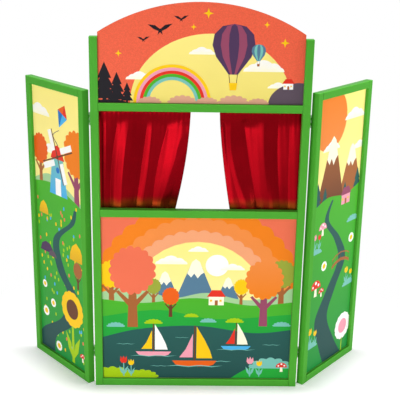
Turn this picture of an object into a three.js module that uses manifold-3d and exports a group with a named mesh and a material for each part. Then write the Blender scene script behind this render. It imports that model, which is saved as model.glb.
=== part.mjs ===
// A child's folding puppet theatre: a stage frame of painted battens with an arched top board and a lower
// board, two framed wings hinged to its back edges, and two gathered curtains on a rod behind the stage.
// Millimetres. +Z is up, +X is to the right as the audience sees it, and +Y runs back from the audience.
import * as THREE from "three";
import { mergeVertices } from "three/addons/utils/BufferGeometryUtils.js";
import Module from "manifold-3d";

// Battens, all of one square section
const battenSize = 22;
const arrisRadius = 2;
const endEasing = 1;

// Stage frame: the stiles stand over the arched board, the opening and the lower board
const frameWidth = 600;
const stileHeight = 1036;
const stileAboveHeader = 178;
const openingHeight = 282;

// Arched top board
const archAboveStiles = 93;
const archRise = 82;

// Wings, as they stand
const wingWidth = 300;
const wingHeight = 890;
const wingAngle = THREE.MathUtils.degToRad(50);

// Boards in grooves, and stub tenons in mortises
const boardThickness = 4;
const grooveDepth = 6;
const grooveStop = 14;
const tenonLength = 12;
const tenonSide = 8;
const fitGap = 0.3;

// Butt hinges, two to a wing, with their leaves on the back faces of the stiles
const hingeAboveFloor = 102;
const hingeBelowTop = 81;
const stileGap = 2;
const knuckleRadius = 4;
const knuckleCount = 5;
const knuckleClearance = 0.3;
const pinRadius = 1.8;
const pinHeadRadius = 3;
const pinHeadHeight = 1;
const pinHeadTopShare = 0.7;
const leafHeight = 36;
const leafThickness = 1.6;
const leafReach = 19;
const leafCornerRadius = 3;

// Countersunk screws of the hinges
const screwFromPin = 12;
const screwSpacing = 20;
const screwLength = 14;
const screwRadius = 1.5;
const screwHeadRadius = 2.9;
const screwPointLength = 4;
const screwTaperShare = 0.9;

// Curtain rod and the screw eyes that carry it
const rodRadius = 4;
const rodStandoff = 9;
const rodEndInset = 1.5;
const eyeInset = 6;
const eyeWireRadius = 1.25;
const eyeThreadLength = 10;

// Curtains
const clothThickness = 1.6;
const hemBelowSill = 22;
const headingHeight = 6;
const curtainSideInset = 1;
const rightDrawnTop = 52;
const rightDrawnHem = 91;
const leftDrawnTop = 26;
const leftDrawnHem = 68;
const foldPitch = 60;
const foldDepth = 11.5;
const gatherDepth = 3;
const sleeveWall = 1.5;
const sleeveRipple = 0.5;

// How the cloth hangs: shares of its drop, the turn of its folds on the way down, and the bend of its edge
const gatherFadeShare = 0.33;
const foldFormShare = 0.4;
const foldTurn = 0.8;
const edgeBend = 1.5;
const rowBunching = 1.3;

// Steps of the round forms, as counts
const arrisSteps = 4;
const archSteps = 16;
const knuckleSides = 16;
const pinSides = 12;
const screwSides = 12;
const rodSides = 12;
const eyeSides = 8;
const eyeSteps = 20;
const columnsPerFold = 10;
const curtainRows = 6;
const sleeveSides = 8;
const gathersPerFold = 2;

// One length that lets a cut run past a face
const overrun = 1;

// Sizes that follow from the ones above
const halfWidth = frameWidth / 2;
const innerHalf = halfWidth - battenSize;
const middleDepth = battenSize / 2;
const railLift = battenSize / 2;
const headerTop = stileHeight - stileAboveHeader;
const sillTop = headerTop - battenSize - openingHeight;
const archTop = stileHeight + archAboveStiles;
const curtainHem = sillTop - hemBelowSill;
const hingeHeights = [hingeAboveFloor, wingHeight - hingeBelowTop];
const hingeX = halfWidth + stileGap / 2;
const hingeY = battenSize + fitGap + knuckleRadius;
const wingFront = -(fitGap + knuckleRadius + battenSize);
const rodY = battenSize + rodStandoff;
const rodZ = headerTop - railLift;
const rodHalf = innerHalf - rodEndInset;
const eyeX = innerHalf - eyeInset;
const sleeveRadius = rodRadius + fitGap + sleeveWall;

const wasm = await Module();
wasm.setup();

function paint(color, roughness, metalness = 0) {
  return new THREE.MeshStandardMaterial({ color, roughness, metalness });
}

const looks = {
  frame: paint(0x55ab3c, 0.4),
  archBoard: paint(0xeb6446, 0.5),
  lowerBoard: paint(0xf0a860, 0.5),
  wingBoard: paint(0xf2904a, 0.5),
  hinge: paint(0x4c9a38, 0.4, 0.2),
  screw: paint(0x55ab3c, 0.35, 0.3),
  rod: paint(0xd8b98a, 0.6),
  eye: paint(0xc9c9c9, 0.3, 0.9),
  cloth: paint(0xb00f1c, 0.45),
};

// Solids for joining and cutting
function solidOf(geometry) {
  const bare = geometry.clone();
  bare.deleteAttribute("normal");
  bare.deleteAttribute("uv");
  const merged = mergeVertices(bare);
  const vertProperties = merged.attributes.position.array;
  const triVerts = new Uint32Array(merged.index.array);
  return new wasm.Manifold(new wasm.Mesh({ numProp: 3, vertProperties, triVerts }));
}

function geometryOf(solid) {
  const made = solid.getMesh();
  const geometry = new THREE.BufferGeometry();
  geometry.setAttribute("position", new THREE.BufferAttribute(made.vertProperties, 3));
  geometry.setIndex(new THREE.BufferAttribute(made.triVerts, 1));
  geometry.computeVertexNormals();
  return geometry;
}

function join(first, ...others) {
  return geometryOf(others.reduce((whole, next) => whole.add(solidOf(next)), solidOf(first)));
}

function cut(blank, ...tools) {
  return geometryOf(tools.reduce((whole, tool) => whole.subtract(solidOf(tool)), solidOf(blank)));
}

// A block between two values on each axis
function block([x0, x1], [y0, y1], [z0, z1]) {
  const box = new THREE.BoxGeometry(x1 - x0, y1 - y0, z1 - z0);
  return box.translate((x0 + x1) / 2, (y0 + y1) / 2, (z0 + z1) / 2);
}

const around = (middle, size) => [middle - size / 2, middle + size / 2];

// Solids of revolution about Z and about Y
function turnedUp(profile, sides) {
  const points = profile.map(([radius, height]) => new THREE.Vector2(radius, height));
  return new THREE.LatheGeometry(points, sides).rotateX(Math.PI / 2);
}

function postZ(radius, [z0, z1], sides) {
  const post = new THREE.CylinderGeometry(radius, radius, z1 - z0, sides).rotateX(Math.PI / 2);
  return post.translate(0, 0, (z0 + z1) / 2);
}

// Batten of square section with softened arrises, standing on z = 0 about the Z axis
function batten(length, easing) {
  const half = battenSize / 2 - easing;
  const radius = arrisRadius - easing;
  const centre = half - radius;
  const section = new THREE.Shape();
  section.absarc(centre, centre, radius, 0, Math.PI / 2);
  section.absarc(-centre, centre, radius, Math.PI / 2, Math.PI);
  section.absarc(-centre, -centre, radius, Math.PI, Math.PI * 1.5);
  section.absarc(centre, -centre, radius, Math.PI * 1.5, Math.PI * 2);
  const bevel = { bevelEnabled: easing > 0, bevelThickness: easing, bevelSize: easing, bevelSegments: 1 };
  const shape = { depth: length - 2 * easing, steps: 1, curveSegments: arrisSteps, ...bevel };
  return new THREE.ExtrudeGeometry(section, shape).translate(0, 0, easing);
}

// Groove and mortise sizes, each with the fitting gap all round
const grooveWidth = boardThickness + 2 * fitGap;
const mortiseSide = tenonSide + 2 * fitGap;

// Stile of the right-hand side: its inner face looks towards -X and stands at x = 0.
// A hinged stile has pilot holes at screwX for the screws of its hinges.
function stile(height, railHeights, grooves, screwX = null) {
  const blank = batten(height, endEasing).translate(battenSize / 2, middleDepth, 0);
  const tools = railHeights.map((z) =>
    block([-overrun, tenonLength + fitGap], around(middleDepth, mortiseSide), around(z, mortiseSide)),
  );
  for (const span of grooves) {
    tools.push(block([-overrun, grooveDepth], around(middleDepth, grooveWidth), span));
  }
  const screwHeights = hingeHeights.flatMap((z) => around(z, screwSpacing));
  for (const z of screwX === null ? [] : screwHeights) {
    const hole = postZ(screwRadius + fitGap, [-screwLength - fitGap, overrun], screwSides);
    tools.push(hole.rotateX(-Math.PI / 2).translate(screwX, battenSize, z));
  }
  return cut(blank, ...tools);
}

// Rail between two stiles, centred on x = 0 with its middle at height z, grooved above or below
function rail(clearWidth, z, grooveSides) {
  const length = clearWidth - 2 * fitGap;
  const standing = batten(length, 0).translate(0, 0, -length / 2);
  const bar = standing.rotateY(Math.PI / 2).translate(0, middleDepth, z);
  const reach = clearWidth + 2 * tenonLength;
  const tenon = block(around(0, reach), around(middleDepth, tenonSide), around(z, tenonSide));
  const tools = grooveSides.map((side) => {
    const face = z + (side * battenSize) / 2;
    const span = [face - side * grooveDepth, face + side * overrun].sort((a, b) => a - b);
    return block(around(0, clearWidth), around(middleDepth, grooveWidth), span);
  });
  return cut(join(bar, tenon), ...tools);
}

// Flat board whose edges sit in the grooves round a clear opening
function board(clearWidth, [bottom, top]) {
  const tongue = grooveDepth - fitGap;
  const width = clearWidth + 2 * tongue;
  return block(around(0, width), around(middleDepth, boardThickness), [bottom - tongue, top + tongue]);
}

// Arched top board: tongues in the header and the stiles, and a free round top between the stiles
const archGrooveTop = stileHeight - grooveStop;

function archedBoard() {
  const tongue = grooveDepth - fitGap;
  const half = innerHalf - fitGap;
  const foot = headerTop - tongue;
  const shoulder = archGrooveTop - fitGap;
  const radius = (innerHalf ** 2 + archRise ** 2) / (2 * archRise);
  const halfAngle = Math.asin(half / radius);
  const outline = new THREE.Shape();
  outline.moveTo(-innerHalf - tongue, foot);
  outline.lineTo(innerHalf + tongue, foot);
  outline.lineTo(innerHalf + tongue, shoulder);
  outline.lineTo(half, shoulder);
  outline.absarc(0, archTop - radius, radius, Math.PI / 2 - halfAngle, Math.PI / 2 + halfAngle);
  outline.lineTo(-half, shoulder);
  outline.lineTo(-innerHalf - tongue, shoulder);
  const shape = { depth: boardThickness, steps: 1, curveSegments: archSteps, bevelEnabled: false };
  const flat = new THREE.ExtrudeGeometry(outline, shape).rotateX(Math.PI / 2);
  return flat.translate(0, middleDepth + boardThickness / 2, 0);
}

// Butt hinge about a pin on the Z axis: the plate lies against the wood at y = -knuckleRadius.
// The frame's leaf reaches towards -X and holds the even knuckles; the wing's reaches towards +X.
function hingeLeaf(side, ownKnuckle) {
  const pitch = leafHeight / knuckleCount;
  const plateY = [-knuckleRadius, leafThickness - knuckleRadius];
  const nearX = knuckleRadius + knuckleClearance;
  const outline = new THREE.Shape();
  const corner = leafHeight / 2 - leafCornerRadius;
  const cornerX = leafReach - leafCornerRadius;
  outline.moveTo(nearX, -leafHeight / 2);
  outline.lineTo(cornerX, -leafHeight / 2);
  outline.absarc(cornerX, -corner, leafCornerRadius, -Math.PI / 2, 0);
  outline.absarc(cornerX, corner, leafCornerRadius, 0, Math.PI / 2);
  outline.lineTo(nearX, leafHeight / 2);
  const shape = { depth: leafThickness, steps: 1, curveSegments: arrisSteps, bevelEnabled: false };
  const plate = new THREE.ExtrudeGeometry(outline, shape);
  plate.rotateX(Math.PI / 2).translate(0, plateY[1], 0);
  const pieces = [];
  for (let i = 0; i < knuckleCount; i += 1) {
    if (i % 2 === ownKnuckle) {
      const middleZ = (i + 0.5) * pitch - leafHeight / 2;
      const [lower, upper] = around(middleZ, pitch - knuckleClearance);
      pieces.push(postZ(knuckleRadius, [lower, upper], knuckleSides));
      pieces.push(block([0, nearX + leafThickness], plateY, [lower, upper]));
    }
  }
  const bore = postZ(pinRadius + fitGap, around(0, leafHeight + 2 * overrun), pinSides);
  const countersink = [
    [0, -leafThickness - overrun],
    [screwRadius + fitGap, -leafThickness - overrun],
    [screwRadius + fitGap, -leafThickness],
    [screwHeadRadius + fitGap, 0],
    [screwHeadRadius + fitGap, overrun],
    [0, overrun],
  ];
  const holes = around(0, screwSpacing).map((z) =>
    turnedUp(countersink, screwSides).rotateX(-Math.PI / 2).translate(screwFromPin, plateY[1], z),
  );
  const leaf = cut(join(plate, ...pieces), bore, ...holes);
  return side > 0 ? leaf : turnedRound(leaf);
}

// Half a turn about the Y axis, which keeps the plate on its wood
function turnedRound(geometry) {
  return geometry.rotateY(Math.PI);
}

function hingePin() {
  const half = leafHeight / 2 + fitGap;
  const end = half + pinHeadHeight;
  const profile = [
    [0, -end],
    [pinHeadRadius * pinHeadTopShare, -end],
    [pinHeadRadius, -half],
    [pinRadius, -half],
    [pinRadius, half],
    [pinHeadRadius, half],
    [pinHeadRadius * pinHeadTopShare, end],
    [0, end],
  ];
  return turnedUp(profile, pinSides);
}

// Countersunk screw whose head lies in the plane y = 0 and whose point looks towards -Y
function screw() {
  const profile = [
    [0, -screwLength],
    [screwRadius * screwTaperShare, screwPointLength - screwLength],
    [screwRadius, -leafThickness],
    [screwHeadRadius, 0],
    [0, 0],
  ];
  return turnedUp(profile, screwSides).rotateX(-Math.PI / 2);
}

// Screw eye: a ring round the rod and a threaded shank that runs forward into the header
function screwEye() {
  const ringRadius = rodRadius + fitGap + eyeWireRadius;
  const ring = new THREE.TorusGeometry(ringRadius, eyeWireRadius, eyeSides, eyeSteps).rotateY(Math.PI / 2);
  const shankLength = rodStandoff - ringRadius + eyeThreadLength;
  const shank = postZ(eyeWireRadius, [ringRadius, ringRadius + shankLength], eyeSides).rotateX(Math.PI / 2);
  return join(ring, shank);
}

function eyeHole(x) {
  const hole = postZ(eyeWireRadius + fitGap, [-eyeThreadLength - fitGap, overrun], screwSides);
  return hole.rotateX(-Math.PI / 2).translate(x, battenSize, rodZ);
}

// Curtain of the right-hand side: a folded sheet that hangs from a sleeve round the rod.
// Its inner edge stands at drawnTop by the rod and at drawnHem by the hem.
function curtain(drawnTop, drawnHem) {
  const sideX = innerHalf - curtainSideInset;
  const sleeveX = eyeX - eyeWireRadius - fitGap;
  const top = rodZ + sleeveRadius + headingHeight;
  const folds = Math.round((sideX - drawnTop) / foldPitch);
  const columns = folds * columnsPerFold;
  const rows = curtainRows;
  const foldReach = (foldDepth - clothThickness) / 2;
  const eyeFoot = rodZ - rodRadius - 2 * eyeWireRadius - 2 * fitGap;
  const underEye = (top - eyeFoot) / (top - curtainHem);
  const smooth = (t) => THREE.MathUtils.smoothstep(t, 0, 1);

  // Middle of the cloth at a share s across from the side, and t down from the heading
  function middle(s, t) {
    const spread = smooth((t - underEye) / gatherFadeShare);
    const outer = THREE.MathUtils.lerp(sleeveX, sideX, spread);
    const inner = THREE.MathUtils.lerp(drawnTop, drawnHem, t ** edgeBend);
    const wave = 2 * Math.PI * folds * s;
    const gather = (1 - spread) * (gatherDepth / 2) * Math.sin(gathersPerFold * wave);
    const fold = foldReach * smooth(t / foldFormShare) * Math.sin(wave + foldTurn * t);
    return new THREE.Vector2(THREE.MathUtils.lerp(outer, inner, s), rodY - gather - fold);
  }

  const positions = [];
  const nearby = 1 / (4 * columns);
  for (const face of [-1, 1]) {
    for (let row = 0; row <= rows; row += 1) {
      const t = (row / rows) ** rowBunching;
      for (let column = 0; column <= columns; column += 1) {
        const s = column / columns;
        const here = middle(s, t);
        const along = middle(s + nearby, t).sub(middle(s - nearby, t)).normalize();
        const offset = (face * clothThickness) / 2;
        const z = THREE.MathUtils.lerp(top, curtainHem, t);
        positions.push(here.x - along.y * offset, here.y + along.x * offset, z);
      }
    }
  }
  const index = [];
  const layer = (rows + 1) * (columns + 1);
  const at = (face, row, column) => face * layer + row * (columns + 1) + column;
  const quad = (a, b, c, d) => index.push(a, b, c, a, c, d);
  for (let row = 0; row < rows; row += 1) {
    for (let column = 0; column < columns; column += 1) {
      quad(at(0, row, column), at(0, row + 1, column), at(0, row + 1, column + 1), at(0, row, column + 1));
      quad(at(1, row, column), at(1, row, column + 1), at(1, row + 1, column + 1), at(1, row + 1, column));
    }
    quad(at(0, row, 0), at(1, row, 0), at(1, row + 1, 0), at(0, row + 1, 0));
    quad(at(0, row, columns), at(0, row + 1, columns), at(1, row + 1, columns), at(1, row, columns));
  }
  for (let column = 0; column < columns; column += 1) {
    quad(at(0, 0, column), at(0, 0, column + 1), at(1, 0, column + 1), at(1, 0, column));
    quad(at(0, rows, column), at(1, rows, column), at(1, rows, column + 1), at(0, rows, column + 1));
  }
  const sheet = new THREE.BufferGeometry();
  sheet.setAttribute("position", new THREE.Float32BufferAttribute(positions, 3));
  sheet.setIndex(index);

  // The sleeve's wall ripples where the cloth is gathered
  const sleeveSteps = folds * gathersPerFold * 2;
  const profile = [[0, drawnTop]];
  for (let i = 0; i <= sleeveSteps; i += 1) {
    const ripple = i % 2 === 0 ? -sleeveRipple : sleeveRipple;
    profile.push([sleeveRadius + ripple, THREE.MathUtils.lerp(drawnTop, sleeveX, i / sleeveSteps)]);
  }
  profile.push([0, sleeveX]);
  const alongRod = (geometry) => geometry.rotateY(Math.PI / 2).translate(0, rodY, rodZ);
  const sleeve = alongRod(turnedUp(profile, sleeveSides));
  const bore = alongRod(postZ(rodRadius + fitGap, [drawnTop - overrun, sideX + overrun], rodSides));
  return cut(join(sheet, sleeve), bore);
}

// Meshes and groups
function piece(name, geometry, look, x = 0, y = 0, z = 0) {
  const made = new THREE.Mesh(geometry, look);
  made.name = name;
  made.position.set(x, y, z);
  return made;
}

// A mirrored group: what it holds stands on the other side of x = 0
function mirrored(...children) {
  const group = new THREE.Group().add(...children);
  group.scale.x = -1;
  return group;
}

const lowerSpan = [battenSize, sillTop - battenSize];
const archSpan = [headerTop, archGrooveTop];
const railCentres = [railLift, sillTop - railLift, headerTop - railLift];

// The two screws through one hinge leaf
function leafScrews(name, x, y, z) {
  const headY = y - knuckleRadius + leafThickness;
  return around(z, screwSpacing).map((height, i) =>
    piece(`${name}_screw_${i ? "top" : "bottom"}`, screw(), looks.screw, x, headY, height),
  );
}

// The right-hand side of the stage: its stile and screw eye, and what the hinges leave on the stage
function stageSide(name) {
  const lowerGroove = [lowerSpan[0] - grooveDepth, lowerSpan[1] + grooveDepth];
  const archGroove = [archSpan[0] - grooveDepth, archSpan[1]];
  const screwX = hingeX - screwFromPin;
  const post = stile(stileHeight, railCentres, [lowerGroove, archGroove], screwX - innerHalf);
  const group = new THREE.Group();
  group.add(piece(`stage_stile_${name}`, post, looks.frame, innerHalf));
  group.add(piece(`screw_eye_${name}`, screwEye(), looks.eye, eyeX, rodY, rodZ));
  hingeHeights.forEach((z, i) => {
    const hinge = `hinge_${name}_${i ? "upper" : "lower"}`;
    group.add(piece(`${hinge}_stage_leaf`, hingeLeaf(-1, 0), looks.hinge, hingeX, hingeY, z));
    group.add(piece(`${hinge}_pin`, hingePin(), looks.hinge, hingeX, hingeY, z));
    group.add(...leafScrews(`${hinge}_stage`, screwX, hingeY, z));
  });
  return group;
}

// The right-hand wing: framed flat about its hinge pins at x = 0 and y = 0, then turned back to its angle
function wing(name) {
  const clearWidth = wingWidth - 2 * battenSize;
  const nearX = stileGap / 2;
  const innerX = nearX + battenSize;
  const outerX = nearX + wingWidth - battenSize;
  const middleX = nearX + wingWidth / 2;
  const heights = [railLift, wingHeight - railLift];
  const span = [battenSize, wingHeight - battenSize];
  const groove = [span[0] - grooveDepth, span[1] + grooveDepth];
  const hung = stile(wingHeight, heights, [groove], innerX - screwFromPin);
  const free = stile(wingHeight, heights, [groove]);
  const bottom = rail(clearWidth, heights[0], [1]);
  const top = rail(clearWidth, heights[1], [-1]);

  const group = new THREE.Group();
  group.add(mirrored(piece(`wing_${name}_inner_stile`, hung, looks.frame, -innerX, wingFront)));
  group.add(piece(`wing_${name}_outer_stile`, free, looks.frame, outerX, wingFront));
  group.add(piece(`wing_${name}_bottom_rail`, bottom, looks.frame, middleX, wingFront));
  group.add(piece(`wing_${name}_top_rail`, top, looks.frame, middleX, wingFront));
  group.add(piece(`wing_${name}_board`, board(clearWidth, span), looks.wingBoard, middleX, wingFront));
  hingeHeights.forEach((z, i) => {
    const hinge = `hinge_${name}_${i ? "upper" : "lower"}`;
    group.add(piece(`${hinge}_wing_leaf`, hingeLeaf(1, 1), looks.hinge, 0, 0, z));
    group.add(...leafScrews(`${hinge}_wing`, screwFromPin, 0, z));
  });
  group.rotation.z = wingAngle;
  group.position.set(hingeX, hingeY, 0);
  return group;
}

// Header with its holes for the screw eyes
function header() {
  const bar = rail(2 * innerHalf, headerTop - railLift, [1]);
  return cut(bar, eyeHole(eyeX), eyeHole(-eyeX));
}

function curtainRod() {
  const rod = postZ(rodRadius, around(0, 2 * rodHalf), rodSides).rotateY(Math.PI / 2);
  return rod.translate(0, rodY, rodZ);
}

const theatre = new THREE.Group();
theatre.add(stageSide("right"), mirrored(stageSide("left")));
theatre.add(piece("bottom_rail", rail(2 * innerHalf, railLift, [1]), looks.frame));
theatre.add(piece("stage_sill", rail(2 * innerHalf, sillTop - railLift, [-1]), looks.frame));
theatre.add(piece("header_rail", header(), looks.frame));
theatre.add(piece("lower_board", board(2 * innerHalf, lowerSpan), looks.lowerBoard));
theatre.add(piece("arch_board", archedBoard(), looks.archBoard));
theatre.add(piece("curtain_rod", curtainRod(), looks.rod));
theatre.add(piece("curtain_right", curtain(rightDrawnTop, rightDrawnHem), looks.cloth));
theatre.add(mirrored(piece("curtain_left", curtain(leftDrawnTop, leftDrawnHem), looks.cloth)));
theatre.add(wing("right"), mirrored(wing("left")));

// The origin is on the floor, midway between the stage's face and the back corners of the wings
const cornerReach = stileGap / 2 + wingWidth - arrisRadius;
const cornerDepth = fitGap + knuckleRadius + arrisRadius;
const cornerY = cornerReach * Math.sin(wingAngle) - cornerDepth * Math.cos(wingAngle);
const wingBack = hingeY + cornerY + arrisRadius;
theatre.position.y = -wingBack / 2;

export default theatre;
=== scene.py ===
"""A child's folding puppet theatre: painted frame, printed boards and red satin curtains.

Metres. +Z is up, +X is to the right as the audience sees it, and +Y runs back from the audience.
"""

import math

import bmesh
import bpy
import numpy as np
from mathutils import Matrix, Vector
from mathutils.geometry import delaunay_2d_cdt


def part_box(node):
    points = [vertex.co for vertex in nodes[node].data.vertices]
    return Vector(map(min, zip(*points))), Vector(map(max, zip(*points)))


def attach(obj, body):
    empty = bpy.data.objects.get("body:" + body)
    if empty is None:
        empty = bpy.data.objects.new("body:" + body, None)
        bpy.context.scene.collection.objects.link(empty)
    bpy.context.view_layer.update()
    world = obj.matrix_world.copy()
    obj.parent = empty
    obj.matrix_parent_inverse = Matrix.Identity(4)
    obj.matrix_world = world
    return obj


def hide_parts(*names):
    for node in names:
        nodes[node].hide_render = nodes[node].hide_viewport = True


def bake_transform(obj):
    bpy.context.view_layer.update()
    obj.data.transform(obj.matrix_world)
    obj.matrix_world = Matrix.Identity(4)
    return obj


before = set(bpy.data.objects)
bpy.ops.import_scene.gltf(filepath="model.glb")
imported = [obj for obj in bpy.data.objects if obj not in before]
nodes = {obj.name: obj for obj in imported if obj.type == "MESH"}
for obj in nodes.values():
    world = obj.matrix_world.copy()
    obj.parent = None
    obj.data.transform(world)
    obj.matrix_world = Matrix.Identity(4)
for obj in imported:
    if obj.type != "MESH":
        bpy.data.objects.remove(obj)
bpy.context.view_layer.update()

MM = 0.001

# Sizes of the frame that the looks follow
SHIFT_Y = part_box("stage_stile_left")[0].y
BATTEN = 22 * MM
INNER_HALF = 278 * MM
SILL_TOP = 554 * MM
HEADER_TOP = 858 * MM
ARCH_TOP = 1129 * MM
ARCH_RISE = 82 * MM
BOARD_RECESS = 9 * MM
WING_WIDTH = 300 * MM
WING_HEIGHT = 890 * MM
WING_ANGLE = math.radians(50)
HINGE_X, HINGE_BACK = 301 * MM, 26.3 * MM
HINGE = Vector((HINGE_X, SHIFT_Y + HINGE_BACK, 0))
WING_FRONT = -HINGE_BACK
WING_NEAR = 1 * MM
ROD_BACK = 31 * MM
ROD_Y = SHIFT_Y + ROD_BACK
ROD_Z = 847 * MM


# Colours

def linear(red, green, blue):
    """A colour given in the usual 0 to 255 numbers, as the linear numbers that shaders hold."""
    shares = [value / 255 for value in (red, green, blue)]
    return tuple(c / 12.92 if c <= 0.04045 else ((c + 0.055) / 1.055) ** 2.4 for c in shares) + (1.0,)


FRAME_GREEN = linear(78, 165, 53)
HINGE_GREEN = linear(78, 160, 56)
BARE_BOARD = linear(150, 118, 84)
PINE = linear(214, 180, 132)
STEEL = linear(190, 190, 186)
SATIN_RED = linear(126, 2, 14)
SATIN_SHINE = (1.0, 0.45, 0.18, 1.0)
# Painted reflection of the green sill, mixed into the satin near the hem
SILL_REFLECTION_OLIVE = linear(112, 84, 8)


# Materials

ENAMEL_IOR = 1.2
BATTEN_ROUNDING = 1.2 * MM
# Painted highlight on upward arrises: its reach, the turn over which it grows, and how much it lightens
HIGHLIGHT_EDGE = 3 * MM
HIGHLIGHT_TURN = 0.25
HIGHLIGHT_TONE = 1.6
NOISE_LOW, NOISE_HIGH = 0.3, 0.7
GRAIN_SCALE = (900, 900, 22)
ROD_GRAIN_SCALE = (14, 500, 500)
THREAD_SCALE = (1400, 500, 1)

# Sockets of a Mix node that hold colours
MIX_FROM, MIX_TO, MIX_COLOUR = 6, 7, 2

# Noises: how many waves to the metre, how much detail, and how rough
PLANED, TURNED, WOVEN = (1.0, 3.0, 0.6), (1.0, 4.0, 0.6), (1.0, 2.0)
ENAMEL_CLOUDS, ENAMEL_PEEL = (9.0, 3.0), (420.0, 1.0)
BRUSH_CLOUDS, BRUSH_STROKES = (60.0, 3.0), (300.0, 2.0)
BOARD_CLOUDS, BOARD_FIBRE = (14.0, 3.0), (700.0, 6.0, 0.7)
WIRE_STREAKS = (900.0, 3.0)
SATIN_CLOUDS, HEM_REFLECTION_CLOUDS = (14.0, 3.0), (26.0, 1.0)
PAPER_CLOUDS, PAPER_GRAIN = (8.0, 2.0), (420.0, 1.0)

# Between which values a tone or a roughness varies
ENAMEL_TONES, ENAMEL_ROUGHNESS = (0.965, 1.035), (0.3, 0.4)
HINGE_TONES = (0.94, 1.05)
FIBRE_TONES, BOARD_TONES = (0.86, 1.1), (0.95, 1.05)
PINE_TONES = (0.82, 1.08)
WIRE_ROUGHNESS = (0.22, 0.42)
WEAVE_TONES, SATIN_TONES = (0.9, 1.08), (0.9, 1.1)
HEM_REFLECTION_TONES = (0.1, 1.6)
PAPER_TONES, MOTTLED_TONES = (0.985, 1.015), (0.93, 1.1)

# Reliefs: how deep, and how strongly they show
GRAIN_RELIEF, PEEL_RELIEF = (0.06 * MM, 0.5), (0.03 * MM, 0.5)
STROKE_RELIEF = (0.08 * MM, 0.6)
FIBRE_RELIEF, ROD_RELIEF = (0.1 * MM, 0.6), (0.1 * MM, 0.4)
WEAVE_RELIEF, PAPER_RELIEF = (0.05 * MM, 0.4), (0.02 * MM, 0.4)


class Tree:
    """The shader nodes of a material or of the world, with short ways to add to them."""

    def __init__(self, holder):
        holder.use_nodes = True
        self.tree = holder.node_tree

    def add(self, kind, links=None, values=None, **settings):
        node = self.tree.nodes.new("ShaderNode" + kind)
        for setting, value in settings.items():
            setattr(node, setting, value)
        for socket, value in (values or {}).items():
            node.inputs[socket].default_value = value
        for socket, source in (links or {}).items():
            self.tree.links.new(source, node.inputs[socket])
        return node

    def math(self, operation, *terms, clamp=False):
        """What an operation makes of two terms, each a plain number or another node's output."""
        numbers = {i: term for i, term in enumerate(terms) if isinstance(term, float)}
        links = {i: term for i, term in enumerate(terms) if i not in numbers}
        return self.add("Math", links, numbers, operation=operation, use_clamp=clamp).outputs[0]

    def seen_directly(self):
        """One where a ray comes from the camera, or from a mirror or glass that shows the background."""
        path = self.add("LightPath").outputs
        sharp = self.math("MAXIMUM", path["Is Glossy Ray"], path["Is Transmission Ray"])
        return self.math("MAXIMUM", path["Is Camera Ray"], sharp)

    def show(self, output, result):
        self.tree.links.new(result, self.tree.nodes[output].inputs["Surface"])


class Look(Tree):
    """A material around one Principled shader."""

    def __init__(self, name, **sockets):
        self.material = bpy.data.materials.new(name)
        super().__init__(self.material)
        self.shader = self.tree.nodes["Principled BSDF"]
        for socket, value in sockets.items():
            self.shader.inputs[socket.replace("_", " ")].default_value = value

    def set(self, socket, source):
        self.tree.links.new(source, self.shader.inputs[socket])

    def place(self, turn=0.0, scale=(1, 1, 1)):
        """Object coordinates, turned about Z and then scaled."""
        where = self.add("TexCoord").outputs["Object"]
        turned = self.add("Mapping", {"Vector": where}, {"Rotation": (0, 0, turn)})
        return self.add("Mapping", {"Vector": turned.outputs[0]}, {"Scale": scale}).outputs[0]

    def noise(self, where, scale, detail=2.0, roughness=0.5):
        links = {"Vector": where}
        values = {"Scale": scale, "Detail": detail, "Roughness": roughness}
        return self.add("TexNoise", links, values).outputs["Fac"]

    def ramp(self, source, start, end, low=0.0, high=1.0, **settings):
        """A value that runs from low to high while the source runs from start to end."""
        values = {"From Min": start, "From Max": end, "To Min": low, "To Max": high}
        return self.add("MapRange", {"Value": source}, values, **settings).outputs[0]

    def spread(self, source, low, high):
        """A noise value near one half spread to a range of low to high."""
        return self.ramp(source, NOISE_LOW, NOISE_HIGH, low, high)

    def tone(self, colour, amount):
        """A colour lightened and darkened by the value of amount, which lies near one."""
        return self.add("HueSaturation", {"Value": amount}, {"Color": colour}).outputs[0]

    def bump(self, height, distance, strength, under=None):
        links = {"Height": height, "Normal": under} if under else {"Height": height}
        made = self.add("Bump", links, {"Distance": distance, "Strength": strength}).outputs[0]
        self.set("Normal", made)
        return made


def painted_arris_highlight(look):
    """A painted highlight: lighter paint on edges that turn upward, most where they lie at 45 degrees."""
    soft = look.add("Bevel", values={"Radius": HIGHLIGHT_EDGE}, samples=6).outputs[0]
    raised = look.math("MAXIMUM", look.add("SeparateXYZ", {0: soft}).outputs["Z"], 0.0)
    level = look.math("MULTIPLY", raised, raised)
    arris = look.math("MULTIPLY", level, look.math("SUBTRACT", 1.0, level))
    return look.ramp(arris, 0.0, HIGHLIGHT_TURN, 1.0, HIGHLIGHT_TONE)


def painted_wood(name, turn=0.0, upright=True):
    """Satin enamel over a planed batten, whose grain shows faintly through the paint."""
    look = Look(name, Specular_IOR_Level=0.15, IOR=ENAMEL_IOR)
    along = GRAIN_SCALE if upright else GRAIN_SCALE[::-1]
    grain = look.noise(look.place(turn, along), *PLANED)
    cloudy = look.noise(look.place(), *ENAMEL_CLOUDS)
    peel = look.noise(look.place(), *ENAMEL_PEEL)
    # The tone includes a painted highlight along arrises that face upward
    amount = look.math("MULTIPLY", look.spread(cloudy, *ENAMEL_TONES), painted_arris_highlight(look))
    look.set("Base Color", look.tone(FRAME_GREEN, amount))
    look.set("Roughness", look.spread(cloudy, *ENAMEL_ROUGHNESS))
    rounded = look.add("Bevel", values={"Radius": BATTEN_ROUNDING}, samples=4).outputs[0]
    first = look.bump(grain, *GRAIN_RELIEF, rounded)
    look.bump(peel, *PEEL_RELIEF, first)
    return look.material


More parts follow.
